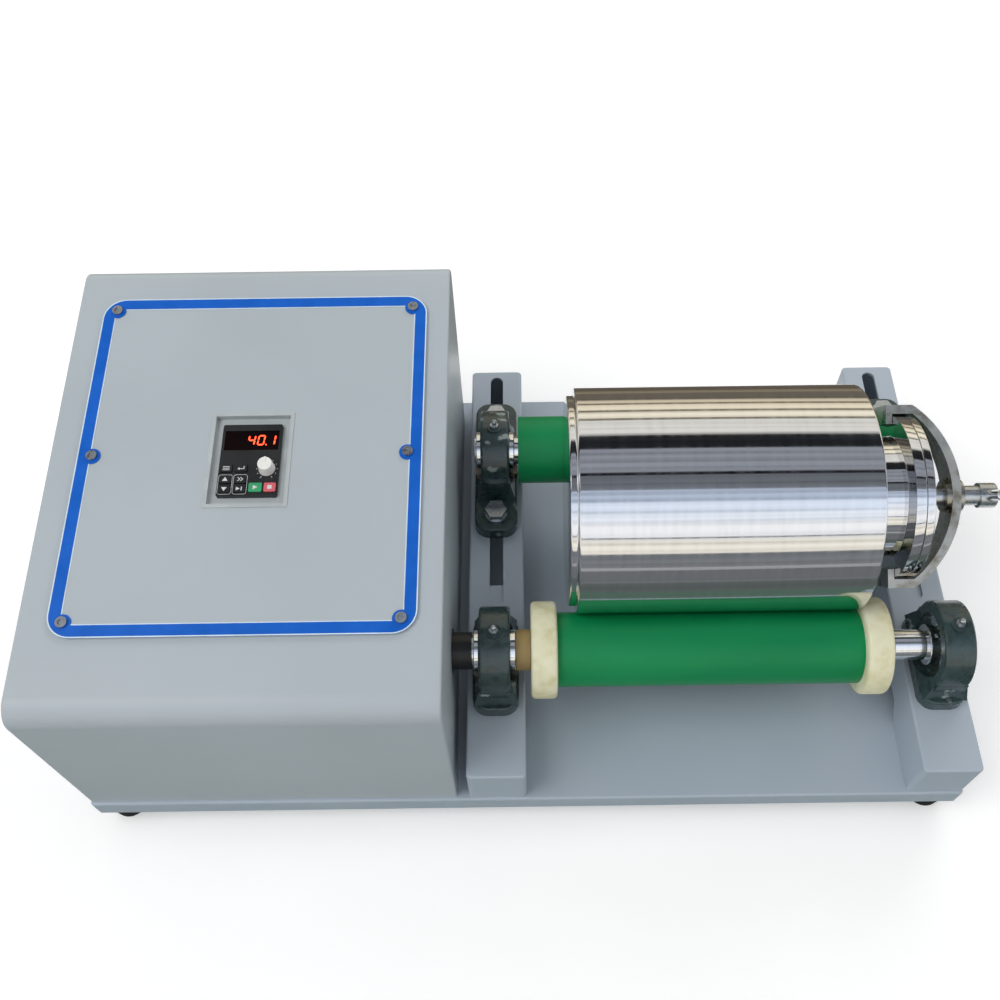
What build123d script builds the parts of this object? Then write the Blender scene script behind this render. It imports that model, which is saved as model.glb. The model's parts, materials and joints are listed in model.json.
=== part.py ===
from build123d import *
from math import cos, radians, sin, sqrt
import os

# Sizes in millimetres. X runs to the right, Y to the back and Z up, from the floor.

# Overall frame
base_length = 727.5
base_depth = 411.5
base_height = 22.0
base_sheet = 2.0
base_edge_radius = 3.0
handle_overhang = 14.0
base_lip_width = 36.0
foot_height = 24.0
foot_radius = 16.5
foot_inset = 17.5
foot_hole_radius = 5.5
foot_taper = 5.0

# Drive housing
housing_width = 305.5
housing_sheet = 2.0
housing_front_height = 189.0
housing_tilt = 5.6
housing_front_setback = 3.0
housing_rear_setback = 22.0
housing_front_bend = 18.0
housing_rear_bend = 13.0
housing_side_bend = 2.0

vent_length = 80.0
vent_width = 4.0
vent_pitch = 12.0
vent_count = 6
vent_from_inlet = 112.0
vent_above_inlet = 40.0

# Control panel on the tilted top
panel_width = 265.0
panel_length = 292.7
panel_corner = 18.0
panel_thickness = 2.0
panel_low_edge = 58.8
panel_shift = 2.2
trim_width = 9.5
trim_thickness = 0.8
trim_boss_radius = 6.5
screw_inset = 11.5
screw_head_radius = 4.2
screw_head_height = 2.2
screw_shank_radius = 2.0
screw_shank_length = 6.0
screw_hex = 2.5
screw_gap = 0.2

# Speed controller in the panel
recess_width = 58.0
recess_length = 76.0
recess_depth = 4.5
recess_offset = -4.1
cutout_gap = 1.0
insert_gap = 0.2
bezel_rim = 1.5
bezel_wall = 1.5
bezel_rim_height = 0.6
keypad_width = 46.0
keypad_length = 62.0
keypad_thickness = 3.5
keypad_corner = 1.5
window_width = 42.0
window_length = 17.0
window_depth = 1.2
window_offset = 17.0
key_gap = 0.3
key_proud = 0.9
key_floor_gap = 0.9
knob_radius = 6.4
knob_height = 9.0
knob_stem_radius = 3.0
knob_top_radius = 5.4
knob_stem_gap = 0.05
pointer_width = 1.2
pointer_length = 4.5
pointer_height = 0.8
dial_x = 14.0
dial_y = -8.0
key_corner = 1.0
controller_depth = 95.0
fin_pitch = 9.0
fin_count = 6
fin_slot_width = 5.0

# Keys: name, then centre x and y on the keypad, width and length
key_rows = {
    "menu": (-17.0, -7.5, 9.0, 6.0),
    "enter": (-5.5, -7.5, 9.0, 6.0),
    "up": (-17.0, -17.0, 9.0, 6.5),
    "down": (-17.0, -25.0, 9.0, 6.5),
    "shift": (-5.5, -17.0, 9.0, 6.5),
    "jog": (-5.5, -25.0, 9.0, 6.5),
    "run": (6.5, -24.0, 10.0, 7.5),
    "stop": (17.5, -24.0, 9.0, 7.5),
}

# Rails
rail_setback = 2.0
rail_width = 48.0
rail_height = 52.0
rail_sheet = 3.0
rail_bend = 4.0
rail_gap = 10.0
rail_leg = 60.0
rail_window = 15.0
slot_width = 12.0
slot_front = 154.5
slot_rear = 402.0
slot_stop_length = 20.0

# Bearings and their blocks
shaft_radius = 12.5
shaft_height = 36.5
block_width = 38.0
head_width = 25.0
head_radius = 35.5
head_edge = 2.5
head_sink = 3.0
block_edge = 2.0
block_inset = 1.0
saddle_length = 77.0
block_roof = 2.0
block_slot_length = 18.0
block_slot_width = 12.0
bolt_end_gap = 1.0
long_base = 140.0
short_base = 84.0
base_lip = 13.0
flare_height = 24.0
flare_taper = 14.0
bolt_spacing = 105.0
short_bolt_spacing = 56.0
bolt_radius = 5.0
bolt_hex = 8.5
bolt_head = 6.5
washer_radius = 10.0
washer_thickness = 2.0
nut_bar_height = 9.0
nut_bar_width = 24.0
nut_bar_corner = 3.0
outer_ring_radius = 26.0
outer_ring_width = 17.0
inner_ring_radius = 16.5
inner_ring_width = 34.0
running_gap = 0.3
nipple_radius = 3.0
nipple_height = 9.0
nipple_neck_radius = 1.8
nipple_ball_radius = 2.4
nipple_ball_rise = 7.0
nipple_boss_height = 1.0
ring_edge = 0.8
set_screw_radius = 1.8
set_screw_inset = 5.0

# Rollers
front_axis_inset = 95.5
roller_spacing = 195.5
roller_radius = 30.0
core_radius = 25.0
core_wall = 4.0
ring_radius = 39.0
ring_width = 21.0
ring_rounding = 4.0
collar_left_width = 12.0
collar_right_width = 7.0
collar_radius = 16.5
bare_shaft = 28.0
rear_cover_gap = 1.5
shaft_overhang = 2.0
bar_edge = 1.0

# Drive
sleeve_radius = 15.0
sleeve_length = 66.0
sleeve_gap = 1.5
wall_hole_radius = 19.0
sleeve_motor_depth = 25.0
sleeve_web = 1.0
motor_shaft_radius = 7.5
motor_shaft_sink = 8.0
motor_shaft_gap = 3.0
sink_gap = 0.5
gearbox_gap = 14.0
gearbox_corner = 8.0
gearbox_size = 90.0
gearbox_length = 62.0
motor_radius = 43.0
motor_length = 130.0
bracket_thickness = 6.0
bracket_foot = 70.0
bracket_rib_height = 42.0
bracket_hole_radius = 20.0

# Jar
jar_radius = 90.0
jar_wall = 4.0
jar_gap = 9.0
jar_cap_length = 6.0
jar_cap_radius = 84.0
jar_right_gap = 3.5
jar_edge = 3.0
neck_radius = 48.0
neck_length = 29.5
flange_radius = 65.0
flange_thickness = 8.0
lid_thickness = 7.5
seal_inner = 50.0
seal_outer = 56.0
seal_depth = 2.5
contact_gap = 0.3

# Lid clamp
clamp_angle = 31.6
clamp_width = 26.0
clamp_thickness = 7.0
clamp_reach = 38.0
hook_depth = 8.0
hook_thickness = 5.0
clamp_boss_radius = 13.0
clamp_boss_length = 14.0
clamp_boss_proud = 3.0
clamp_screw_radius = 8.0
thread_gap = 0.08
pad_radius = 14.0
pad_thickness = 5.0
pad_stem_radius = 4.0
pad_stem_length = 6.0
handle_edge = 1.5
screw_end_radius = 10.0
screw_end_length = 14.0
tommy_radius = 4.5
tommy_length = 66.0

# Power inlet on the rear wall
inlet_width = 27.0
inlet_height = 47.0
inlet_flange = 3.0
inlet_flange_thickness = 2.5
inlet_depth = 26.0
inlet_corner = 2.0
inlet_hole_gap = 0.6
inlet_from_left = 70.0
inlet_from_base = 52.0
socket_width = 24.0
socket_height = 16.5
socket_depth = 18.0
socket_drop = 11.0
socket_corner = 3.0
pin_width = 2.0
pin_height = 4.0
pin_spread = 6.0
pin_drop = 1.5
pin_lift = 3.0
pin_length = 12.0
rocker_width = 19.0
rocker_height = 13.0
rocker_rise = 13.0
rocker_reach = 4.6
rocker_depth = 5.0
rocker_taper = 0.6
rocker_pressed = 0.2
rocker_middle = 0.6
rocker_raised = 2.2
pivot_radius = 1.6
pivot_depth = 3.0
pivot_proud = 0.2

# Places worked out from the sizes
left_x = -(base_length + handle_overhang) / 2
right_x = left_x + base_length
front_y = -base_depth / 2
rear_y = base_depth / 2
base_top = foot_height + base_height
housing_right = left_x + housing_width
rail_left_x = housing_right + rail_gap + rail_width / 2
rail_right_x = right_x - rail_width / 2
rail_top = base_top + rail_height
rail_length = base_depth - 2 * rail_setback
axis_z = rail_top + shaft_height
front_axis_y = front_y + front_axis_inset
rear_axis_y = front_axis_y + roller_spacing
half_ring = inner_ring_width / 2
core_left = rail_left_x + half_ring + collar_left_width
cover_left = core_left + ring_width
core_right = rail_right_x - half_ring - bare_shaft - collar_right_width
cover_right = core_right - ring_width
front_cover_length = cover_right - cover_left
jar_y = (front_axis_y + rear_axis_y) / 2
centre_distance = jar_radius + roller_radius + contact_gap
jar_z = axis_z + sqrt(centre_distance**2 - (roller_spacing / 2) ** 2)
jar_left = cover_left + jar_gap
jar_right = cover_right - jar_right_gap
flange_left = jar_right + neck_length
flange_right = flange_left + flange_thickness
lid_left = flange_right + contact_gap
lid_right = lid_left + lid_thickness
housing_front_y = front_y + housing_front_setback
housing_rear_y = rear_y - housing_rear_setback
housing_rise = (housing_rear_y - housing_front_y) * sin(radians(housing_tilt)) / cos(radians(housing_tilt))

panel_x = (left_x + housing_right) / 2 + panel_shift
panel_along = panel_low_edge + panel_length / 2
top_normal = Vector(0, -sin(radians(housing_tilt)), cos(radians(housing_tilt)))
top_slope = Vector(0, cos(radians(housing_tilt)), sin(radians(housing_tilt)))
panel_origin = Vector(panel_x, housing_front_y, base_top + housing_front_height) + top_slope * panel_along
panel_plane = Plane(origin=panel_origin, x_dir=(1, 0, 0), z_dir=top_normal)
panel_top = panel_plane.offset(panel_thickness)
floor_plane = panel_top.offset(-recess_depth)
keypad_top = floor_plane.offset(keypad_thickness)
bezel_width = recess_width + 2 * bezel_wall
bezel_length = recess_length + 2 * bezel_wall
inlet_plane = Plane(
    origin=(left_x + inlet_from_left, housing_rear_y, base_top + inlet_from_base),
    x_dir=(-1, 0, 0),
    z_dir=(0, 1, 0),
)

os.makedirs("parts", exist_ok=True)


def save(piece, label):
    piece.part.label = label
    export_step(piece.part, f"parts/{label}.step")


def facing_right(x, y, z):
    """A plane square to X whose own x runs along Y and y along Z."""
    return Plane(origin=(x, y, z), x_dir=(0, 1, 0), z_dir=(1, 0, 0))


def round_bar(x, length, radius, bore, y, z, rounding=0.0):
    """A bar or ring along X, with its outer rims rounded."""
    with BuildPart() as bar:
        with BuildSketch(facing_right(x, y, z)):
            Circle(radius)
        extrude(amount=length)
        if rounding:
            fillet(bar.edges().filter_by(GeomType.CIRCLE), rounding)
        if bore:
            with BuildSketch(facing_right(x, y, z)):
                Circle(bore)
            extrude(amount=length, mode=Mode.SUBTRACT)
    return bar


# Base: a folded pan with return lips round its open underside
with BuildPart() as base_pan:
    with BuildSketch(Plane.XY.offset(foot_height)):
        with Locations((left_x + base_length / 2, 0)):
            Rectangle(base_length, base_depth)
    extrude(amount=base_height)
    fillet(base_pan.edges().filter_by(Axis.Z), base_edge_radius)
    fillet(base_pan.faces().sort_by(Axis.Z)[-1].edges(), base_sheet)
    with BuildSketch(Plane.XY.offset(foot_height)):
        with Locations((left_x + base_length / 2, 0)):
            Rectangle(base_length - 2 * base_lip_width, base_depth - 2 * base_lip_width)
    extrude(amount=base_height - base_sheet, mode=Mode.SUBTRACT)
    with BuildSketch(Plane.XY.offset(foot_height + base_sheet)):
        with Locations((left_x + base_length / 2, 0)):
            Rectangle(base_length - 2 * base_sheet, base_depth - 2 * base_sheet)
    extrude(amount=base_height - 2 * base_sheet, mode=Mode.SUBTRACT)
save(base_pan, "base_pan")

# Rubber feet under the corners of the pan's lips
foot_x_places = (left_x + foot_inset, right_x - foot_inset)
foot_y_places = (front_y + foot_inset, rear_y - foot_inset)
with BuildPart() as feet:
    for foot_x in foot_x_places:
        for foot_y in foot_y_places:
            with BuildSketch(Plane.XY.offset(foot_height)):
                with Locations((foot_x, foot_y)):
                    Circle(foot_radius)
            extrude(amount=-foot_height, taper=foot_taper)
            with BuildSketch(Plane.XY):
                with Locations((foot_x, foot_y)):
                    Circle(foot_hole_radius)
            extrude(amount=foot_height / 2, mode=Mode.SUBTRACT)
save(feet, "rubber_feet")


def build_rail(centre_x):
    """A folded channel, open below, with a long bolt slot and cut-away side walls."""
    with BuildPart() as rail:
        with BuildSketch(Plane.XY.offset(base_top)):
            with Locations((centre_x, 0)):
                Rectangle(rail_width, rail_length)
        extrude(amount=rail_height)
        fillet(rail.edges().filter_by(Axis.Z), rail_bend)
        fillet(rail.faces().sort_by(Axis.Z)[-1].edges(), rail_bend / 2)
        with BuildSketch(Plane.XY.offset(base_top)):
            with Locations((centre_x, 0)):
                Rectangle(rail_width - 2 * rail_sheet, rail_length - 2 * rail_sheet)
        extrude(amount=rail_height - rail_sheet, mode=Mode.SUBTRACT)
        leg_y = rail_length / 2 - rail_leg
        with BuildSketch(facing_right(centre_x, 0, base_top)):
            with BuildLine():
                Polyline(
                    (-leg_y, 0),
                    (leg_y, 0),
                    (leg_y - rail_window, rail_window),
                    (-leg_y + rail_window, rail_window),
                    close=True,
                )
            make_face()
        extrude(amount=rail_width / 2, both=True, mode=Mode.SUBTRACT)
        slot_length = slot_rear - slot_front
        with BuildSketch(Plane.XY.offset(rail_top - rail_sheet)):
            with Locations((centre_x, front_y + slot_front + slot_length / 2)):
                SlotOverall(slot_length, slot_width, rotation=90)
            with Locations((centre_x, front_axis_y)):
                with GridLocations(0, short_bolt_spacing, 1, 2):
                    Circle(bolt_radius + running_gap)
        extrude(amount=rail_sheet, mode=Mode.SUBTRACT)
        with BuildSketch(Plane.XY.offset(rail_top - 2 * rail_sheet)):
            with Locations((centre_x, front_y + slot_front + slot_stop_length / 2)):
                Rectangle(rail_width - 2 * rail_sheet, slot_stop_length)
        extrude(amount=rail_sheet)
    return rail


for side, centre_x in {"left": rail_left_x, "right": rail_right_x}.items():
    save(build_rail(centre_x), f"rail_{side}")

# Drive housing: one folded cover with welded sides, open below
with BuildPart() as housing:
    with BuildSketch(facing_right(left_x, 0, base_top)):
        with BuildLine():
            outline = Polyline(
                (housing_front_y, 0),
                (housing_front_y, housing_front_height),
                (housing_rear_y, housing_front_height + housing_rise),
                (housing_rear_y, 0),
                close=True,
            )
        make_face()
    extrude(amount=housing_width)
    across = housing.edges().filter_by(Axis.X)
    fillet(across.group_by(Axis.Z)[-1], housing_rear_bend)
    across = housing.edges().filter_by(Axis.X)
    fillet(across.group_by(Axis.Y)[0].sort_by(Axis.Z)[-1], housing_front_bend)
    rims = housing.faces().filter_by(Plane.YZ).edges()
    fillet(rims.filter_by(lambda e: e.center().Z > base_top + housing_sheet), housing_side_bend)
    with BuildSketch(facing_right(left_x + housing_sheet, 0, base_top)):
        with BuildLine():
            Polyline(
                (housing_front_y + housing_sheet, 0),
                (housing_front_y + housing_sheet, housing_front_height - housing_front_bend),
                (housing_front_y + housing_front_bend, housing_front_height - housing_sheet),
                (housing_rear_y - housing_rear_bend, housing_front_height + housing_rise
                 - housing_rear_bend * sin(radians(housing_tilt)) - housing_sheet),
                (housing_rear_y - housing_sheet, housing_front_height + housing_rise - housing_rear_bend),
                (housing_rear_y - housing_sheet, 0),
                close=True,
            )
        make_face()
    extrude(amount=housing_width - 2 * housing_sheet, mode=Mode.SUBTRACT)
    with BuildSketch(facing_right(housing_right, front_axis_y, axis_z)):
        Circle(wall_hole_radius)
    extrude(amount=-2 * housing_sheet, mode=Mode.SUBTRACT)
    with BuildSketch(panel_plane):
        with Locations((0, recess_offset)):
            Rectangle(bezel_width + cutout_gap, bezel_length + cutout_gap)
        with GridLocations(panel_width - 2 * screw_inset, panel_length / 2 - screw_inset, 2, 3):
            Circle(screw_shank_radius + screw_gap)
    extrude(amount=-2 * housing_sheet, mode=Mode.SUBTRACT)
    with BuildSketch(inlet_plane):
        Rectangle(inlet_width + inlet_hole_gap, inlet_height + inlet_hole_gap)
    extrude(amount=-2 * housing_sheet, mode=Mode.SUBTRACT)
    with BuildSketch(inlet_plane):
        with Locations((-vent_from_inlet, vent_above_inlet)):
            with GridLocations(0, vent_pitch, 1, vent_count):
                SlotOverall(vent_length, vent_width)
    extrude(amount=-2 * housing_sheet, mode=Mode.SUBTRACT)
save(housing, "drive_housing")

# Control panel plate, with its blue trim and six screws
screw_grid = GridLocations(panel_width - 2 * screw_inset, panel_length / 2 - screw_inset, 2, 3)
with BuildPart() as panel:
    with BuildSketch(panel_plane):
        RectangleRounded(panel_width, panel_length, panel_corner)
        with Locations((0, recess_offset)):
            Rectangle(bezel_width, bezel_length, mode=Mode.SUBTRACT)
        with screw_grid:
            Circle(screw_shank_radius + screw_gap, mode=Mode.SUBTRACT)
    extrude(amount=panel_thickness)
save(panel, "control_panel")

with BuildPart() as trim:
    with BuildSketch(panel_top):
        RectangleRounded(panel_width, panel_length, panel_corner)
        inner_corner = panel_corner - trim_width
        RectangleRounded(
            panel_width - 2 * trim_width,
            panel_length - 2 * trim_width,
            inner_corner,
            mode=Mode.SUBTRACT,
        )
        with screw_grid:
            Circle(trim_boss_radius)
        with screw_grid:
            Circle(screw_shank_radius + screw_gap, mode=Mode.SUBTRACT)
    extrude(amount=trim_thickness)
save(trim, "panel_trim")

with BuildPart() as panel_screws:
    with BuildSketch(panel_top.offset(trim_thickness)):
        with screw_grid:
            Circle(screw_head_radius)
    extrude(amount=screw_head_height)
    with BuildSketch(panel_top.offset(trim_thickness + screw_head_height)):
        with screw_grid:
            RegularPolygon(screw_hex, 6)
    extrude(amount=-screw_head_height / 2, mode=Mode.SUBTRACT)
    with BuildSketch(panel_top.offset(trim_thickness)):
        with screw_grid:
            Circle(screw_shank_radius)
    extrude(amount=-screw_shank_length)
save(panel_screws, "panel_screws")

# Speed controller: bezel tray, keypad, window, keys and dial
with BuildPart() as bezel:
    with BuildSketch(floor_plane.offset(-bezel_wall)):
        with Locations((0, recess_offset)):
            Rectangle(bezel_width - insert_gap, bezel_length - insert_gap)
    extrude(amount=recess_depth + bezel_wall)
    with BuildSketch(panel_top):
        with Locations((0, recess_offset)):
            Rectangle(bezel_width + 2 * bezel_rim, bezel_length + 2 * bezel_rim)
    extrude(amount=bezel_rim_height)
    with BuildSketch(floor_plane):
        with Locations((0, recess_offset)):
            Rectangle(recess_width, recess_length)
    extrude(amount=recess_depth + bezel_rim_height, mode=Mode.SUBTRACT)
save(bezel, "controller_bezel")

with BuildPart() as keypad:
    with BuildSketch(floor_plane):
        with Locations((0, recess_offset)):
            RectangleRounded(keypad_width, keypad_length, keypad_corner)
    extrude(amount=keypad_thickness)
    with BuildSketch(keypad_top):
        with Locations((0, recess_offset + window_offset)):
            Rectangle(window_width, window_length)
    extrude(amount=-window_depth, mode=Mode.SUBTRACT)
    with BuildSketch(floor_plane):
        for key_x, key_y, key_w, key_l in key_rows.values():
            with Locations((key_x, recess_offset + key_y)):
                Rectangle(key_w + 2 * key_gap, key_l + 2 * key_gap)
        with Locations((dial_x, recess_offset + dial_y)):
            Circle(knob_stem_radius + knob_stem_gap)
    extrude(amount=keypad_thickness, mode=Mode.SUBTRACT)
save(keypad, "keypad")

with BuildPart() as window:
    with BuildSketch(keypad_top.offset(-window_depth)):
        with Locations((0, recess_offset + window_offset)):
            Rectangle(window_width - insert_gap, window_length - insert_gap)
    extrude(amount=window_depth)
save(window, "display_window")

for name, (key_x, key_y, key_w, key_l) in key_rows.items():
    with BuildPart() as key:
        with BuildSketch(floor_plane.offset(key_floor_gap)):
            with Locations((key_x, recess_offset + key_y)):
                RectangleRounded(key_w, key_l, key_corner)
        extrude(amount=keypad_thickness + key_proud - key_floor_gap)
    save(key, f"key_{name}")

with BuildPart() as dial:
    with BuildSketch(floor_plane.offset(running_gap)):
        with Locations((dial_x, recess_offset + dial_y)):
            Circle(knob_stem_radius)
    extrude(amount=keypad_thickness + running_gap)
    with BuildSketch(keypad_top.offset(running_gap)):
        with Locations((dial_x, recess_offset + dial_y)):
            Circle(knob_radius)
    with BuildSketch(keypad_top.offset(running_gap + knob_height)):
        with Locations((dial_x, recess_offset + dial_y)):
            Circle(knob_top_radius)
    loft()
    with BuildSketch(keypad_top.offset(running_gap + knob_height)):
        with Locations((dial_x, recess_offset + dial_y + knob_radius / 2)):
            Rectangle(pointer_width, pointer_length)
    extrude(amount=pointer_height)
save(dial, "speed_dial")

with BuildPart() as controller:
    with BuildSketch(floor_plane.offset(-bezel_wall)):
        with Locations((0, recess_offset)):
            Rectangle(recess_width, recess_length)
    extrude(amount=-controller_depth)
    fins = floor_plane.offset(-bezel_wall - controller_depth)
    with BuildSketch(fins):
        with Locations((0, recess_offset)):
            with GridLocations(fin_pitch, 0, fin_count, 1):
                Rectangle(fin_slot_width, recess_length)
    extrude(amount=controller_depth / 4, mode=Mode.SUBTRACT)
save(controller, "controller_body")


def build_block(centre_x, axis_y, base_span, through_bolts):
    """A cast bearing block: flat base, flared foot, round head and a bore along X."""
    with BuildPart() as block:
        with BuildSketch(Plane.XY.offset(rail_top)):
            with Locations((centre_x, axis_y)):
                RectangleRounded(block_width, base_span, block_width / 3)
        extrude(amount=base_lip)
        fillet(block.faces().sort_by(Axis.Z)[-1].edges(), block_edge)
        with BuildSketch(Plane.XY.offset(rail_top + base_lip - block_edge)):
            with Locations((centre_x, axis_y)):
                Rectangle(block_width - 2 * block_inset, saddle_length)
        extrude(amount=flare_height, taper=flare_taper)
        with BuildSketch(facing_right(centre_x - head_width / 2, axis_y, axis_z)):
            Circle(head_radius)
            with Locations((0, -shaft_height / 2)):
                Rectangle(2 * head_radius, shaft_height - 2 * head_sink)
        extrude(amount=head_width)
        rims = block.edges().filter_by(GeomType.CIRCLE).filter_by(lambda e: e.radius == head_radius)
        fillet(rims, head_edge)
        with BuildSketch(facing_right(centre_x - block_width / 2, axis_y, axis_z)):
            Circle(outer_ring_radius)
        extrude(amount=block_width, mode=Mode.SUBTRACT)
        with BuildSketch(Plane.XY.offset(axis_z + head_radius + nipple_boss_height)):
            with Locations((centre_x, axis_y)):
                Circle(2 * nipple_radius)
        extrude(amount=-nipple_boss_height - head_sink)
        with BuildSketch(Plane.XY.offset(rail_top)):
            with Locations((centre_x, axis_y)):
                if through_bolts:
                    with GridLocations(0, bolt_spacing, 1, 2):
                        SlotOverall(block_slot_length, block_slot_width, rotation=90)
                else:
                    with GridLocations(0, short_bolt_spacing, 1, 2):
                        Circle(bolt_radius)
        cut_height = base_lip if through_bolts else base_lip - block_roof
        extrude(amount=cut_height, mode=Mode.SUBTRACT)
    return block


def build_outer_rings(axis_y):
    """Two bearing outer rings with their shields, a hair clear of the turning inner rings."""
    with BuildPart() as rings:
        for centre_x in (rail_left_x, rail_right_x):
            with BuildSketch(facing_right(centre_x - outer_ring_width / 2, axis_y, axis_z)):
                Circle(outer_ring_radius)
                Circle(inner_ring_radius + running_gap, mode=Mode.SUBTRACT)
            extrude(amount=outer_ring_width)
    return rings


def build_inner_rings(axis_y):
    """Two wide inner rings, with set screw sockets in their collar ends."""
    with BuildPart() as rings:
        for centre_x in (rail_left_x, rail_right_x):
            with BuildSketch(facing_right(centre_x - half_ring, axis_y, axis_z)):
                Circle(inner_ring_radius)
                Circle(shaft_radius, mode=Mode.SUBTRACT)
            extrude(amount=inner_ring_width)
        rims = rings.edges().filter_by(GeomType.CIRCLE)
        fillet(rims.filter_by(lambda e: e.radius > shaft_radius + ring_edge), ring_edge)
        with BuildSketch(Plane.XY.offset(axis_z + shaft_radius + ring_edge)):
            with Locations((rail_left_x, axis_y), (rail_right_x, axis_y)):
                with GridLocations(inner_ring_width - 2 * set_screw_inset, 0, 2, 1):
                    RegularPolygon(set_screw_radius, 6)
        extrude(amount=inner_ring_radius, mode=Mode.SUBTRACT)
    return rings


def build_nipples(axis_y):
    """Two grease nipples: hexagon, neck and ball end."""
    seat = axis_z + head_radius + nipple_boss_height
    with BuildPart() as nipples:
        for centre_x in (rail_left_x, rail_right_x):
            with BuildSketch(Plane.XY.offset(seat)):
                with Locations((centre_x, axis_y)):
                    RegularPolygon(nipple_radius + ring_edge, 6)
            extrude(amount=nipple_height / 3)
            with BuildSketch(Plane.XY.offset(seat + nipple_height / 3)):
                with Locations((centre_x, axis_y)):
                    Circle(nipple_neck_radius)
            extrude(amount=nipple_height / 3)
            with Locations((centre_x, axis_y, seat + nipple_ball_rise)):
                Sphere(nipple_ball_radius)
    return nipples


block_places = {
    "front_left": (rail_left_x, front_axis_y, short_base, False),
    "front_right": (rail_right_x, front_axis_y, short_base, False),
    "rear_left": (rail_left_x, rear_axis_y, long_base, True),
    "rear_right": (rail_right_x, rear_axis_y, long_base, True),
}
for place, (centre_x, axis_y, span, bolted) in block_places.items():
    save(build_block(centre_x, axis_y, span, bolted), f"block_{place}")

for row, axis_y in {"front": front_axis_y, "rear": rear_axis_y}.items():
    save(build_outer_rings(axis_y), f"{row}_bearing_outer_rings")
    save(build_inner_rings(axis_y), f"{row}_bearing_inner_rings")
    save(build_nipples(axis_y), f"{row}_grease_nipples")

# Bolts, washers and nut bars that clamp the rear blocks in the rail slots
with BuildPart() as rear_bolts:
    for centre_x in (rail_left_x, rail_right_x):
        head_plane = Plane.XY.offset(rail_top + base_lip)
        with BuildSketch(head_plane):
            with Locations((centre_x, rear_axis_y)):
                with GridLocations(0, bolt_spacing, 1, 2):
                    Circle(washer_radius)
        extrude(amount=washer_thickness)
        with BuildSketch(head_plane.offset(washer_thickness)):
            with Locations((centre_x, rear_axis_y)):
                with GridLocations(0, bolt_spacing, 1, 2):
                    RegularPolygon(bolt_hex, 6, major_radius=False)
        extrude(amount=bolt_head)
        with BuildSketch(head_plane):
            with Locations((centre_x, rear_axis_y)):
                with GridLocations(0, bolt_spacing, 1, 2):
                    Circle(bolt_radius)
        extrude(amount=-(base_lip + rail_sheet + nut_bar_height))
save(rear_bolts, "rear_block_bolts")

with BuildPart() as nut_bars:
    for centre_x in (rail_left_x, rail_right_x):
        with BuildSketch(Plane.XY.offset(rail_top - rail_sheet)):
            with Locations((centre_x, rear_axis_y)):
                RectangleRounded(nut_bar_width, bolt_spacing + nut_bar_width, nut_bar_corner)
                with GridLocations(0, bolt_spacing, 1, 2):
                    Circle(bolt_radius, mode=Mode.SUBTRACT)
        extrude(amount=-nut_bar_height)
save(nut_bars, "rear_nut_bars")

with BuildPart() as front_bolts:
    for centre_x in (rail_left_x, rail_right_x):
        under_plane = Plane.XY.offset(rail_top - rail_sheet)
        with BuildSketch(under_plane):
            with Locations((centre_x, front_axis_y)):
                with GridLocations(0, short_bolt_spacing, 1, 2):
                    RegularPolygon(bolt_hex, 6, major_radius=False)
        extrude(amount=-bolt_head)
        with BuildSketch(under_plane):
            with Locations((centre_x, front_axis_y)):
                with GridLocations(0, short_bolt_spacing, 1, 2):
                    Circle(bolt_radius)
        extrude(amount=rail_sheet + base_lip - block_roof - bolt_end_gap)
save(front_bolts, "front_block_bolts")

# Rollers
sleeve_left = rail_left_x - half_ring - sleeve_gap - sleeve_length
sleeve_split = sleeve_left + sleeve_motor_depth
shaft_right = rail_right_x + half_ring + shaft_overhang
front_length = shaft_right - sleeve_split
front_shaft = round_bar(sleeve_split, front_length, shaft_radius, 0, front_axis_y, axis_z, bar_edge)
save(front_shaft, "front_shaft")
rear_shaft_left = rail_left_x - half_ring - shaft_overhang
rear_length = shaft_right - rear_shaft_left
rear_shaft = round_bar(rear_shaft_left, rear_length, shaft_radius, 0, rear_axis_y, axis_z, bar_edge)
save(rear_shaft, "rear_shaft")


def build_core(x, length, axis_y):
    """Steel tube with a disc at each end, which the shaft passes through."""
    with BuildPart() as core:
        with BuildSketch(facing_right(x, axis_y, axis_z)):
            Circle(core_radius)
            Circle(shaft_radius, mode=Mode.SUBTRACT)
        extrude(amount=length)
        with BuildSketch(facing_right(x + 2 * core_wall, axis_y, axis_z)):
            Circle(core_radius - core_wall)
            Circle(shaft_radius, mode=Mode.SUBTRACT)
        extrude(amount=length - 4 * core_wall, mode=Mode.SUBTRACT)
    return core


save(build_core(core_left, core_right - core_left, front_axis_y), "front_roller_core")
front_cover = round_bar(cover_left, front_cover_length, roller_radius, core_radius, front_axis_y, axis_z)
save(front_cover, "front_roller_cover")
for side, ring_x in {"left": core_left, "right": cover_right}.items():
    stop_ring = round_bar(ring_x, ring_width, ring_radius, core_radius, front_axis_y, axis_z, ring_rounding)
    save(stop_ring, f"stop_ring_{side}")
collar_left = round_bar(core_left - collar_left_width, collar_left_width, collar_radius, shaft_radius,
                        front_axis_y, axis_z, bar_edge)
save(collar_left, "collar_left")
collar_right = round_bar(core_right, collar_right_width, collar_radius, shaft_radius,
                         front_axis_y, axis_z, bar_edge)
save(collar_right, "collar_right")
rear_cover_left = rail_left_x + block_width / 2 + rear_cover_gap
rear_cover_length = rail_right_x - rail_left_x - block_width - 2 * rear_cover_gap
save(build_core(rear_cover_left, rear_cover_length, rear_axis_y), "rear_roller_core")
rear_cover = round_bar(rear_cover_left, rear_cover_length, roller_radius, core_radius, rear_axis_y, axis_z)
save(rear_cover, "rear_roller_cover")

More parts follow.
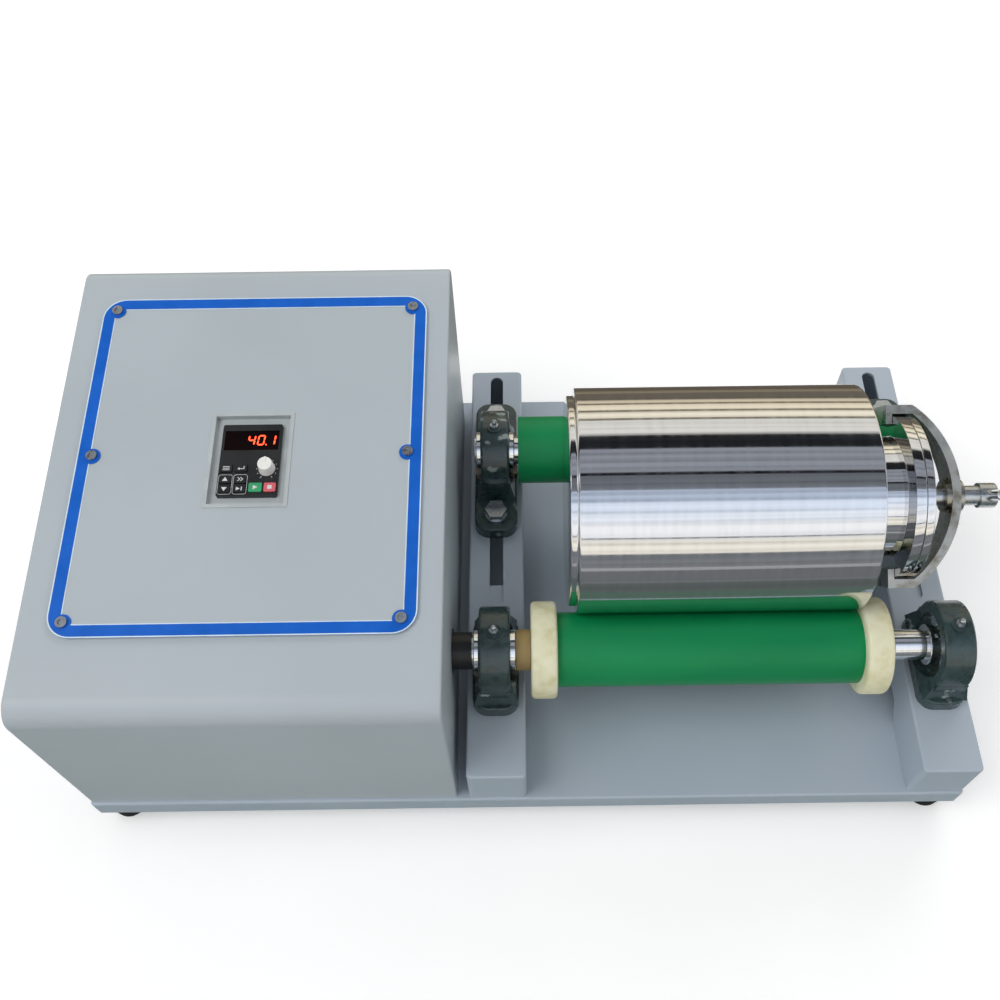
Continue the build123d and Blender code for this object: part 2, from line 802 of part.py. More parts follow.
# Geared motor, its bracket and the sleeve that drives the front roller
with BuildPart() as sleeve:
    with BuildSketch(facing_right(sleeve_left, front_axis_y, axis_z)):
        Circle(sleeve_radius)
    extrude(amount=sleeve_length)
    with BuildSketch(facing_right(sleeve_split, front_axis_y, axis_z)):
        Circle(shaft_radius)
    extrude(amount=sleeve_length, mode=Mode.SUBTRACT)
    with BuildSketch(facing_right(sleeve_left, front_axis_y, axis_z)):
        Circle(motor_shaft_radius)
    extrude(amount=sleeve_motor_depth - sleeve_web, mode=Mode.SUBTRACT)
save(sleeve, "drive_sleeve")

gearbox_right = sleeve_left - gearbox_gap
motor_shaft_left = gearbox_right - motor_shaft_sink
motor_shaft_length = sleeve_split - motor_shaft_gap - motor_shaft_left
motor_shaft = round_bar(motor_shaft_left, motor_shaft_length, motor_shaft_radius, 0, front_axis_y, axis_z)
save(motor_shaft, "motor_output_shaft")
with BuildPart() as motor:
    with BuildSketch(facing_right(gearbox_right - gearbox_length, front_axis_y, axis_z)):
        RectangleRounded(gearbox_size, gearbox_size, gearbox_corner)
    extrude(amount=gearbox_length)
    with BuildSketch(facing_right(gearbox_right - gearbox_length, front_axis_y, axis_z)):
        Circle(motor_radius)
    extrude(amount=-motor_length)
    with BuildSketch(facing_right(gearbox_right, front_axis_y, axis_z)):
        Circle(motor_shaft_radius + running_gap)
    extrude(amount=-motor_shaft_sink - sink_gap, mode=Mode.SUBTRACT)
save(motor, "geared_motor")

with BuildPart() as bracket:
    with BuildSketch(facing_right(gearbox_right, front_axis_y, base_top)):
        with Locations((0, shaft_height + rail_height)):
            RectangleRounded(gearbox_size, gearbox_size, gearbox_corner)
        with Locations((0, (shaft_height + rail_height) / 2)):
            Rectangle(gearbox_size, shaft_height + rail_height)
        with Locations((0, shaft_height + rail_height)):
            Circle(bracket_hole_radius, mode=Mode.SUBTRACT)
    extrude(amount=bracket_thickness)
    with BuildSketch(Plane.XY.offset(base_top)):
        with Locations((gearbox_right + bracket_thickness - bracket_foot / 2, front_axis_y)):
            Rectangle(bracket_foot, gearbox_size)
    extrude(amount=bracket_thickness)
    for rib_side in (-1, 1):
        rib_y = front_axis_y + rib_side * (gearbox_size / 2 - bracket_thickness / 2)
        with BuildSketch(Plane(origin=(gearbox_right, rib_y, base_top), x_dir=(1, 0, 0), z_dir=(0, -1, 0))):
            with BuildLine():
                rib_left = -bracket_foot + 2 * bracket_thickness
                Polyline((0, 0), (rib_left, 0), (0, bracket_rib_height), close=True)
            make_face()
        extrude(amount=bracket_thickness / 2, both=True)
save(bracket, "motor_bracket")

# Jar drum with its stepped end, and its flanged neck, along X
jar_axis = Axis((0, jar_y, jar_z), (1, 0, 0))
jar_plane = Plane(origin=(0, jar_y, jar_z), x_dir=(1, 0, 0), z_dir=(0, -1, 0))
neck_inner = neck_radius - jar_wall
with BuildPart() as jar:
    with BuildSketch(jar_plane):
        with BuildLine():
            Polyline(
                (jar_left, 0),
                (jar_left, jar_cap_radius - jar_edge / 2),
                (jar_left + jar_edge / 2, jar_cap_radius),
                (jar_left + jar_cap_length, jar_cap_radius),
                (jar_left + jar_cap_length, jar_radius - jar_edge / 2),
                (jar_left + jar_cap_length + jar_edge / 2, jar_radius),
                (jar_right - jar_edge, jar_radius),
                (jar_right, jar_radius - jar_edge),
                (jar_right, neck_inner),
                (jar_right - jar_wall, neck_inner),
                (jar_right - jar_wall, jar_radius - jar_wall),
                (jar_left + jar_cap_length + jar_wall, jar_radius - jar_wall),
                (jar_left + jar_cap_length + jar_wall, jar_cap_radius - jar_wall),
                (jar_left + jar_wall, jar_cap_radius - jar_wall),
                (jar_left + jar_wall, 0),
                close=True,
            )
        make_face()
    revolve(axis=jar_axis)
save(jar, "jar")

with BuildPart() as neck:
    with BuildSketch(jar_plane):
        with BuildLine():
            Polyline(
                (jar_right, neck_inner),
                (jar_right, neck_radius),
                (flange_left, neck_radius),
                (flange_left, flange_radius),
                (flange_right, flange_radius),
                (flange_right, seal_outer),
                (flange_right - seal_depth, seal_outer),
                (flange_right - seal_depth, seal_inner),
                (flange_right, seal_inner),
                (flange_right, neck_inner),
                close=True,
            )
        make_face()
    revolve(axis=jar_axis)
save(neck, "jar_neck")

seal = round_bar(flange_right - seal_depth, seal_depth, seal_outer, seal_inner, jar_y, jar_z)
save(seal, "jar_seal")
lid = round_bar(lid_left, lid_thickness, flange_radius, 0, jar_y, jar_z, bar_edge)
save(lid, "jar_lid")

# Lid clamp: an arched yoke that hooks behind the flange, with a screw, pad and cross bar
clamp_leg = Vector(0, cos(radians(clamp_angle)), sin(radians(clamp_angle)))
clamp_normal = Vector(0, -sin(radians(clamp_angle)), cos(radians(clamp_angle)))
clamp_plane = Plane(origin=(lid_right, jar_y, jar_z), x_dir=(1, 0, 0), z_dir=Vector(1, 0, 0).cross(clamp_leg))
leg_inner = flange_radius + contact_gap
leg_outer = leg_inner + clamp_thickness
hook_left = flange_left - contact_gap - hook_thickness - lid_right
hook_right = flange_left - contact_gap - lid_right
with BuildPart() as yoke:
    with BuildSketch(clamp_plane):
        with BuildLine():
            outer_arc = ThreePointArc((0, leg_outer), (clamp_reach, 0), (0, -leg_outer))
            Polyline((0, -leg_outer), (hook_left, -leg_outer), (hook_left, -leg_inner + hook_depth),
                     (hook_right, -leg_inner + hook_depth), (hook_right, -leg_inner), (0, -leg_inner))
            inner_arc = ThreePointArc((0, -leg_inner), (clamp_reach - clamp_thickness, 0), (0, leg_inner))
            Polyline((0, leg_inner), (hook_right, leg_inner), (hook_right, leg_inner - hook_depth),
                     (hook_left, leg_inner - hook_depth), (hook_left, leg_outer), (0, leg_outer))
        make_face()
    extrude(amount=clamp_width / 2, both=True)
    boss_left = lid_right + clamp_reach - clamp_boss_length + clamp_boss_proud
    with BuildSketch(facing_right(boss_left, jar_y, jar_z)):
        Circle(clamp_boss_radius)
    extrude(amount=clamp_boss_length)
    with BuildSketch(facing_right(lid_right + pad_thickness, jar_y, jar_z)):
        Circle(clamp_screw_radius + thread_gap)
    extrude(amount=clamp_reach + clamp_boss_length, mode=Mode.SUBTRACT)
save(yoke, "clamp_yoke")

pad_left = lid_right + contact_gap
screw_left = pad_left + pad_thickness
screw_right = right_x + handle_overhang
with BuildPart() as pad:
    with BuildSketch(facing_right(pad_left, jar_y, jar_z)):
        Circle(pad_radius)
    extrude(amount=pad_thickness - contact_gap)
    with BuildSketch(facing_right(pad_left, jar_y, jar_z)):
        Circle(pad_stem_radius)
    extrude(amount=pad_thickness + pad_stem_length)
save(pad, "clamp_pad")

end_left = screw_right - screw_end_length
with BuildPart() as clamp_screw:
    with BuildSketch(facing_right(screw_left, jar_y, jar_z)):
        Circle(clamp_screw_radius)
    extrude(amount=end_left - screw_left)
    with BuildSketch(facing_right(end_left, jar_y, jar_z)):
        Circle(screw_end_radius)
    extrude(amount=screw_end_length)
    fillet(clamp_screw.faces().sort_by(Axis.X)[-1].edges(), handle_edge)
    with BuildSketch(facing_right(screw_left, jar_y, jar_z)):
        Circle(pad_stem_radius + thread_gap)
    extrude(amount=pad_stem_length + sink_gap, mode=Mode.SUBTRACT)
    tommy_plane = Plane(origin=(screw_right - screw_end_length / 2, jar_y, jar_z), z_dir=clamp_normal)
    with BuildSketch(tommy_plane):
        Circle(tommy_radius)
    extrude(amount=tommy_length, both=True, mode=Mode.SUBTRACT)
save(clamp_screw, "clamp_screw")

with BuildPart() as tommy_bar:
    with BuildSketch(tommy_plane):
        Circle(tommy_radius)
    extrude(amount=tommy_length / 2, both=True)
    fillet(tommy_bar.edges().filter_by(GeomType.CIRCLE), handle_edge)
save(tommy_bar, "clamp_handle")

# Power inlet and rocker switch in the rear wall
with BuildPart() as inlet:
    with BuildSketch(inlet_plane):
        RectangleRounded(inlet_width + 2 * inlet_flange, inlet_height + 2 * inlet_flange, inlet_corner)
    extrude(amount=inlet_flange_thickness)
    with BuildSketch(inlet_plane):
        Rectangle(inlet_width, inlet_height)
    extrude(amount=-inlet_depth)
    socket_plane = inlet_plane.offset(inlet_flange_thickness)
    with BuildSketch(socket_plane):
        with Locations((0, -socket_drop)):
            RectangleRounded(socket_width, socket_height, socket_corner)
        with Locations((0, rocker_rise)):
            Rectangle(rocker_width + inlet_hole_gap, rocker_height + inlet_hole_gap)
    extrude(amount=-socket_depth, mode=Mode.SUBTRACT)
    with BuildSketch(socket_plane.offset(-socket_depth)):
        low_pin = -socket_drop - pin_drop
        with Locations((-pin_spread, low_pin), (pin_spread, low_pin), (0, -socket_drop + pin_lift)):
            Rectangle(pin_width, pin_height)
    extrude(amount=pin_length)
save(inlet, "power_inlet")

with BuildPart() as rocker:
    rocker_centre = inlet_plane.origin + Vector(0, inlet_flange_thickness, rocker_rise)
    rocker_plane = Plane(origin=rocker_centre, x_dir=(0, 1, 0), z_dir=(1, 0, 0))
    with BuildSketch(rocker_plane):
        with BuildLine():
            Polyline(
                (-rocker_depth, -rocker_reach + rocker_taper),
                (-rocker_pressed, -rocker_reach),
                (rocker_middle, 0),
                (rocker_raised, rocker_reach),
                (-rocker_depth, rocker_reach - rocker_taper),
                close=True,
            )
        make_face()
    extrude(amount=rocker_width / 2, both=True)
    with BuildSketch(rocker_plane):
        with Locations((-pivot_depth, 0)):
            Circle(pivot_radius)
    extrude(amount=rocker_width / 2 + pivot_proud, both=True)
save(rocker, "power_rocker")
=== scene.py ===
import json
from math import cos, pi, radians, sin

import bpy
from mathutils import Matrix, Vector


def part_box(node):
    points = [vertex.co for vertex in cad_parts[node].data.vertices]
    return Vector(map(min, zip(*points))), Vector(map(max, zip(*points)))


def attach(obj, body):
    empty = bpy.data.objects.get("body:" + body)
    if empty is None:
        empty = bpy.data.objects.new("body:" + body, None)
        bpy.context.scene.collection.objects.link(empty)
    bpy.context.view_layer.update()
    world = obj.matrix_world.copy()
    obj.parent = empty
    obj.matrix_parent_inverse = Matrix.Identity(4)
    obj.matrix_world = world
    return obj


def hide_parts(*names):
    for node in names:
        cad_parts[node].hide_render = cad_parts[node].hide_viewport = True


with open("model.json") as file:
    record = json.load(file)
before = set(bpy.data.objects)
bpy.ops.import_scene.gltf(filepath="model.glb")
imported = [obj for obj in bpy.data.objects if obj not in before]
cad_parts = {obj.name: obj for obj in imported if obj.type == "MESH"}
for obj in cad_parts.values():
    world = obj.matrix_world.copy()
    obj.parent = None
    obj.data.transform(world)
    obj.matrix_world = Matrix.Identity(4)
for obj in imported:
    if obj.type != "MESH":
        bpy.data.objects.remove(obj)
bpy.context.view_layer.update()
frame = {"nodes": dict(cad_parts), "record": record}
nodes = frame["nodes"]
MM = 0.001

# Places read from the frame, in metres
panel_low, panel_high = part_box("control_panel")
pan_low, pan_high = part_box("base_pan")
TILT = radians(5.6)
TOP_NORMAL = Vector((0, -sin(TILT), cos(TILT)))
TOP_SLOPE = Vector((0, cos(TILT), sin(TILT)))
TO_RIGHT = Vector((1, 0, 0))


def linear(code):
    """A hex colour as linear RGBA."""
    channels = [int(code[i:i + 2], 16) / 255 for i in (1, 3, 5)]
    return [c / 12.92 if c <= 0.04045 else ((c + 0.055) / 1.055) ** 2.4 for c in channels] + [1.0]


def new_material(name):
    """An empty node material with a Principled shader."""
    made = bpy.data.materials.new(name)
    made.use_nodes = True
    tree = made.node_tree
    shader = tree.nodes["Principled BSDF"]
    return made, tree, shader


def add_noise(tree, scale, detail=4.0, stretch=(1, 1, 1)):
    """A noise texture in object coordinates, stretched along an axis."""
    place = tree.nodes.new("ShaderNodeTexCoord")
    mapping = tree.nodes.new("ShaderNodeMapping")
    mapping.inputs["Scale"].default_value = stretch
    noise = tree.nodes.new("ShaderNodeTexNoise")
    noise.inputs["Scale"].default_value = scale
    noise.inputs["Detail"].default_value = detail
    tree.links.new(place.outputs["Object"], mapping.inputs["Vector"])
    tree.links.new(mapping.outputs["Vector"], noise.inputs["Vector"])
    return noise.outputs["Fac"]


def add_ramp(tree, factor, stops):
    """A colour ramp with the stops given as (place, colour)."""
    ramp = tree.nodes.new("ShaderNodeValToRGB")
    while len(ramp.color_ramp.elements) < len(stops):
        ramp.color_ramp.elements.new(0.5)
    for element, (place, colour) in zip(ramp.color_ramp.elements, stops):
        element.position = place
        element.color = colour
    tree.links.new(factor, ramp.inputs["Fac"])
    return ramp.outputs["Color"]


def add_bump(tree, shader, height, strength, distance):
    """Bump from a height, distance in metres."""
    bump = tree.nodes.new("ShaderNodeBump")
    bump.inputs["Strength"].default_value = strength
    bump.inputs["Distance"].default_value = distance
    tree.links.new(height, bump.inputs["Height"])
    tree.links.new(bump.outputs["Normal"], shader.inputs["Normal"])


def add_roughness(tree, shader, factor, low, high):
    """Roughness between low and high, from a noise factor."""
    spread = tree.nodes.new("ShaderNodeMapRange")
    spread.inputs["From Min"].default_value = 0.3
    spread.inputs["From Max"].default_value = 0.7
    spread.inputs["To Min"].default_value = low
    spread.inputs["To Max"].default_value = high
    tree.links.new(factor, spread.inputs["Value"])
    tree.links.new(spread.outputs["Result"], shader.inputs["Roughness"])


def shade(colour, amount):
    """A lighter or darker copy of a linear colour."""
    return [min(1.0, c * amount) for c in colour[:3]] + [1.0]


def powder_coat(name, code):
    """Satin powder coat: even colour, faint clouding and a fine orange peel."""
    colour = linear(code)
    made, tree, shader = new_material(name)
    clouds = add_noise(tree, 7.0)
    tree.links.new(add_ramp(tree, clouds, [(0.3, shade(colour, 0.97)), (0.7, shade(colour, 1.03))]),
                   shader.inputs["Base Color"])
    add_roughness(tree, shader, clouds, 0.36, 0.46)
    add_bump(tree, shader, add_noise(tree, 900.0, 2.0), 0.1, 0.0004)
    shader.inputs["Coat Weight"].default_value = 0.2
    shader.inputs["Coat Roughness"].default_value = 0.28
    return made


def moulded(name, code, roughness=0.45, grain=1500.0, strength=0.08, specular=0.5):
    """Moulded plastic or rubber with a fine grain."""
    colour = linear(code)
    made, tree, shader = new_material(name)
    clouds = add_noise(tree, 60.0)
    tree.links.new(add_ramp(tree, clouds, [(0.3, shade(colour, 0.92)), (0.7, shade(colour, 1.06))]),
                   shader.inputs["Base Color"])
    add_roughness(tree, shader, clouds, roughness - 0.05, roughness + 0.08)
    add_bump(tree, shader, add_noise(tree, grain, 2.0), strength, 0.0003)
    shader.inputs["Specular IOR Level"].default_value = specular
    return made


def polished_metal(name, code, low, high, stretch=(1, 1, 1), scale=300.0, strength=0.05):
    """Bare metal with fine machining marks along the stretched direction."""
    colour = linear(code)
    made, tree, shader = new_material(name)
    shader.inputs["Metallic"].default_value = 1.0
    marks = add_noise(tree, scale, 6.0, stretch)
    tree.links.new(add_ramp(tree, marks, [(0.3, shade(colour, 0.95)), (0.7, shade(colour, 1.02))]),
                   shader.inputs["Base Color"])
    add_roughness(tree, shader, marks, low, high)
    add_bump(tree, shader, marks, strength, 0.0002)
    return made


def worn_steel(name, code, stain, low=0.16, high=0.4):
    """Handled stainless steel with brown stains and fine scratches."""
    colour = linear(code)
    made, tree, shader = new_material(name)
    shader.inputs["Metallic"].default_value = 1.0
    stains = add_noise(tree, 65.0, 8.0)
    stops = [(0.35, linear(stain)), (0.52, colour), (0.75, shade(colour, 1.25))]
    tree.links.new(add_ramp(tree, stains, stops), shader.inputs["Base Color"])
    add_roughness(tree, shader, stains, low, high)
    add_bump(tree, shader, add_noise(tree, 420.0, 6.0), 0.25, 0.0003)
    return made


def roller_rubber():
    """Green polyurethane: satin, with rubbing marks round it and faint smudges."""
    colour = linear("#05894F")
    made, tree, shader = new_material("green_polyurethane")
    smudge = add_noise(tree, 22.0, 5.0, (0.35, 1, 1))
    stops = [(0.25, shade(colour, 0.86)), (0.55, colour), (0.8, shade(colour, 1.12))]
    tree.links.new(add_ramp(tree, smudge, stops), shader.inputs["Base Color"])
    add_roughness(tree, shader, smudge, 0.3, 0.44)
    add_bump(tree, shader, add_noise(tree, 500.0, 3.0, (1, 0.05, 0.05)), 0.05, 0.0003)
    shader.inputs["Specular IOR Level"].default_value = 0.22
    return made


def nylon():
    """Cream nylon with a yellowed mottle and a waxy depth."""
    colour = linear("#EAE7C4")
    made, tree, shader = new_material("cream_nylon")
    mottle = add_noise(tree, 70.0, 6.0)
    stops = [(0.25, linear("#D3CC96")), (0.5, colour), (0.8, linear("#F3F1D8"))]
    tree.links.new(add_ramp(tree, mottle, stops), shader.inputs["Base Color"])
    add_roughness(tree, shader, mottle, 0.38, 0.55)
    add_bump(tree, shader, add_noise(tree, 260.0, 5.0), 0.15, 0.0004)
    shader.inputs["Subsurface Weight"].default_value = 0.12
    shader.inputs["Subsurface Radius"].default_value = (0.004, 0.003, 0.0015)
    return made


def cast_enamel():
    """Dark green enamel over a sand casting, worn pale where it has been handled."""
    colour = linear("#263C3D")
    made, tree, shader = new_material("cast_green_enamel")
    lumps = add_noise(tree, 160.0, 6.0)
    wear = add_noise(tree, 62.0, 8.0)
    body = add_ramp(tree, lumps, [(0.3, shade(colour, 0.7)), (0.7, shade(colour, 1.35))])
    mask = add_ramp(tree, wear, [(0.63, (0, 0, 0, 1)), (0.68, (1, 1, 1, 1))])
    mix = tree.nodes.new("ShaderNodeMix")
    mix.data_type = "RGBA"
    tree.links.new(mask, mix.inputs["Factor"])
    tree.links.new(body, mix.inputs["A"])
    mix.inputs["B"].default_value = linear("#93A09D")
    tree.links.new(mix.outputs["Result"], shader.inputs["Base Color"])
    add_roughness(tree, shader, lumps, 0.22, 0.4)
    add_bump(tree, shader, lumps, 0.5, 0.0008)
    shader.inputs["Coat Weight"].default_value = 0.35
    shader.inputs["Coat Roughness"].default_value = 0.12
    return made


def smoked_window():
    """Dark red-brown window over the display."""
    made, tree, shader = new_material("smoked_window")
    stops = [(0.3, linear("#0A0405")), (0.7, linear("#16090A"))]
    tree.links.new(add_ramp(tree, add_noise(tree, 30.0), stops), shader.inputs["Base Color"])
    shader.inputs["Roughness"].default_value = 0.12
    shader.inputs["Coat Weight"].default_value = 0.5
    return made


def glowing(name, code, strength):
    """Plastic that gives off its own colour."""
    made, tree, shader = new_material(name)
    colour = linear(code)
    shader.inputs["Base Color"].default_value = colour
    shader.inputs["Emission Color"].default_value = colour
    shader.inputs["Emission Strength"].default_value = strength
    shader.inputs["Roughness"].default_value = 0.4
    return made


finishes = {
    "housing_paint": powder_coat("housing_powder_coat", "#B0BAC0"),
    "frame_paint": powder_coat("frame_powder_coat", "#AEBAC7"),
    "trim_blue": moulded("blue_trim", "#0560C8", 0.35, specular=0.2),
    "bezel_grey": moulded("bezel_plastic", "#B4BBBD", 0.4),
    "black_plastic": moulded("black_plastic", "#17191C", 0.4),
    "window_smoke": smoked_window(),
    "green_key": moulded("green_key", "#2FA36C", 0.4),
    "red_key": moulded("red_key", "#D8606A", 0.4),
    "white_plastic": moulded("white_plastic", "#F2F2EE", 0.35),
    "block_green": cast_enamel(),
    "bright_steel": polished_metal("ground_steel", "#DEE0E2", 0.08, 0.16, (60, 1, 1), 12.0, 0.05),
    "bolt_steel": polished_metal("plated_steel", "#B9BDC0", 0.22, 0.38),
    "roller_green": roller_rubber(),
    "nylon_cream": nylon(),
    "ochre_bush": moulded("ochre_bush", "#B3985F", 0.5, 700.0, 0.2),
    "black_steel": moulded("blackened_steel", "#1B1C1E", 0.38, 900.0, 0.15),
    "stainless": polished_metal("polished_stainless", "#D6D7D9", 0.05, 0.1, (6, 1, 1), 30.0, 0.006),
    "black_rubber": moulded("black_rubber", "#161616", 0.7, 600.0, 0.25),
    "seal_white": moulded("silicone", "#DAD9D2", 0.5),
    "motor_grey": moulded("motor_paint", "#5A5F63", 0.45, 500.0, 0.15),
}
for row in frame["record"]["subparts"]:
    cad = nodes[row["node"]]
    cad.data.materials.clear()
    cad.data.materials.append(finishes[row["material_slot"]])
yoke_steel = worn_steel("handled_stainless", "#A7A59C", "#7C705C")
nodes["clamp_yoke"].data.materials[0] = yoke_steel


def look_along(forward, roll):
    """Rotation whose view runs along forward, with the picture's own roll."""
    right = forward.cross(Vector((0, 0, 1))).normalized()
    up = right.cross(forward)
    rolled_right = right * cos(roll) - up * sin(roll)
    rolled_up = up * cos(roll) + right * sin(roll)
    return Matrix((rolled_right, rolled_up, -forward)).transposed()


# Camera, fitted to the object's edges as they show in the picture
PITCH = radians(58.4)
ROLL = 0.0138
LENS = 39.6
SIDE_SHIFT = -0.025
CAMERA_FROM_HOUSING = 0.060
CAMERA_FROM_FRONT = 0.2675
CAMERA_ABOVE_BASE = 0.910
camera_data = bpy.data.cameras.new("camera")
camera_data.sensor_width = 36.0
camera_data.lens = LENS
camera_data.shift_x = SIDE_SHIFT
camera = bpy.data.objects.new("camera", camera_data)
bpy.context.scene.collection.objects.link(camera)
view_turn = look_along(Vector((0, cos(PITCH), -sin(PITCH))), ROLL)
housing_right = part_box("drive_housing")[1][0]
camera_place = Vector((housing_right + CAMERA_FROM_HOUSING, pan_low[1] - CAMERA_FROM_FRONT,
                       pan_high[2] + CAMERA_ABOVE_BASE))
camera.matrix_world = Matrix.Translation(camera_place) @ view_turn.to_4x4()
bpy.context.scene.camera = camera

# World: a pale studio, white behind the object and in reflections
STUDIO_FILL = 0.55
world = bpy.data.worlds.new("studio")
bpy.context.scene.world = world
world.use_nodes = True
background = world.node_tree.nodes["Background"]
paths = world.node_tree.nodes.new("ShaderNodeLightPath")
seen = world.node_tree.nodes.new("ShaderNodeMath")
seen.operation = "MAXIMUM"
world.node_tree.links.new(paths.outputs["Is Camera Ray"], seen.inputs[0])
world.node_tree.links.new(paths.outputs["Is Glossy Ray"], seen.inputs[1])
level = world.node_tree.nodes.new("ShaderNodeMapRange")
level.inputs["To Min"].default_value = STUDIO_FILL
level.inputs["To Max"].default_value = 1.0
world.node_tree.links.new(seen.outputs["Value"], level.inputs["Value"])
world.node_tree.links.new(level.outputs["Result"], background.inputs["Strength"])
background.inputs["Color"].default_value = (1, 1, 1, 1)


def add_mesh(name, vertices, faces, material=None, smooth_angle=None):
    """A mesh object, with edges up to smooth_angle shaded smooth."""
    mesh = bpy.data.meshes.new(name)
    mesh.from_pydata([tuple(v) for v in vertices], [], faces)
    mesh.update()
    made = bpy.data.objects.new(name, mesh)
    bpy.context.scene.collection.objects.link(made)
    if material:
        mesh.materials.append(material)
    if smooth_angle:
        mesh.polygons.foreach_set("use_smooth", [True] * len(mesh.polygons))
        mesh.set_sharp_from_angle(angle=smooth_angle)
    return made


def put(piece, body, slot_name, *replaced):
    """Says what a piece moves with and what it stands for; slot_name is not used."""
    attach(piece, body)
    if replaced:
        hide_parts(*replaced)
    return piece


# Turned parts, smooth round
SEGMENTS = 192
FILLET_STEPS = 4
SMOOTH_ANGLE = radians(28)
TINY = 1e-9


def eased(profile, radius):
    """The closed profile with each corner off the axis rounded."""
    points = [Vector(p) for p in profile]
    out = []
    for index, corner in enumerate(points):
        before = points[index - 1] - corner
        after = points[(index + 1) % len(points)] - corner
        reach = min(radius, before.length * 0.45, after.length * 0.45)
        if corner.y <= TINY or reach < 1e-6:
            out.append(corner)
            continue
        start = corner + before.normalized() * reach
        end = corner + after.normalized() * reach
        for step in range(FILLET_STEPS + 1):
            t = step / FILLET_STEPS
            out.append(start * (1 - t) ** 2 + corner * 2 * t * (1 - t) + end * t ** 2)
    return out


def turned(name, profile, centre, material, ease=0.5 * MM):
    """A revolve about X of a closed profile of (x, radius), given in metres."""
    rings = []
    vertices = []
    for x, radius in eased(profile, ease):
        if radius <= TINY:
            rings.append([len(vertices)])
            vertices.append((x, centre[1], centre[2]))
            continue
        rings.append(list(range(len(vertices), len(vertices) + SEGMENTS)))
        for k in range(SEGMENTS):
            angle = 2 * pi * k / SEGMENTS
            vertices.append((x, centre[1] + radius * cos(angle), centre[2] + radius * sin(angle)))
    faces = []
    for index, ring in enumerate(rings):
        other = rings[(index + 1) % len(rings)]
        for k in range(SEGMENTS):
            following = (k + 1) % SEGMENTS
            if len(ring) == 1 and len(other) == 1:
                break
            if len(ring) == 1:
                faces.append((ring[0], other[following], other[k]))
            elif len(other) == 1:
                faces.append((ring[k], ring[following], other[0]))
            else:
                faces.append((ring[k], ring[following], other[following], other[k]))
    return add_mesh(name, vertices, faces, material, SMOOTH_ANGLE)


def round_box(node):
    """Left end, right end, radius and centre of a node that is round about X."""
    low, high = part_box(node)
    return low[0], high[0], (high[2] - low[2]) / 2, Vector([(a + b) / 2 for a, b in zip(low, high)])


def turned_ring(node, body, slot_name, bore, ease):
    """A plain ring that stands for a round node."""
    left, right, radius, centre = round_box(node)
    profile = [(left, bore), (left, radius), (right, radius), (right, bore)]
    return put(turned(f"{node}_turned", profile, centre, finishes[slot_name], ease), body, slot_name, node)


# Jar: drum with a stepped end, neck with its flange, and lid
JAR_WALL = 4 * MM
CAP_LENGTH = 6 * MM
CAP_RADIUS = 84 * MM
NECK_RADIUS = 48 * MM
NECK_BORE = NECK_RADIUS - JAR_WALL
FLANGE_THICKNESS = 8 * MM
SEAL_INNER = 50 * MM
SEAL_OUTER = 56 * MM
SEAL_DEPTH = 2.5 * MM
jar_left, jar_right, jar_radius, jar_centre = round_box("jar")
neck_left, flange_right, flange_radius, neck_centre = round_box("jar_neck")
lid_left, lid_right, lid_radius, lid_centre = round_box("jar_lid")
cap_right = jar_left + CAP_LENGTH
drum_profile = [
    (jar_left, 0), (jar_left, CAP_RADIUS), (cap_right, CAP_RADIUS), (cap_right, jar_radius),
    (jar_right, jar_radius), (jar_right, NECK_BORE), (jar_right - JAR_WALL, NECK_BORE),
    (jar_right - JAR_WALL, jar_radius - JAR_WALL), (cap_right + JAR_WALL, jar_radius - JAR_WALL),
    (cap_right + JAR_WALL, CAP_RADIUS - JAR_WALL), (jar_left + JAR_WALL, CAP_RADIUS - JAR_WALL),
    (jar_left + JAR_WALL, 0),
]
drum = turned("jar_drum", drum_profile, jar_centre, finishes["stainless"], 1.6 * MM)
put(drum, "jar", "stainless", "jar")
flange_left = flange_right - FLANGE_THICKNESS
neck_profile = [
    (neck_left, NECK_BORE), (neck_left, NECK_RADIUS), (flange_left, NECK_RADIUS),
    (flange_left, flange_radius), (flange_right, flange_radius), (flange_right, SEAL_OUTER),
    (flange_right - SEAL_DEPTH, SEAL_OUTER), (flange_right - SEAL_DEPTH, SEAL_INNER),
    (flange_right, SEAL_INNER), (flange_right, NECK_BORE),
]
put(turned("jar_neck_turned", neck_profile, neck_centre, finishes["stainless"], 0.7 * MM), "jar", "stainless",
    "jar_neck")
LID_STEP = 1.2 * MM
LID_BOSS = 40 * MM
lid_profile = [
    (lid_left, 0), (lid_left, lid_radius), (lid_right - LID_STEP, lid_radius),
    (lid_right - LID_STEP, LID_BOSS), (lid_right, LID_BOSS - LID_STEP), (lid_right, 0),
]
put(turned("jar_lid_turned", lid_profile, lid_centre, finishes["stainless"], 0.9 * MM), "jar", "stainless",
    "jar_lid")

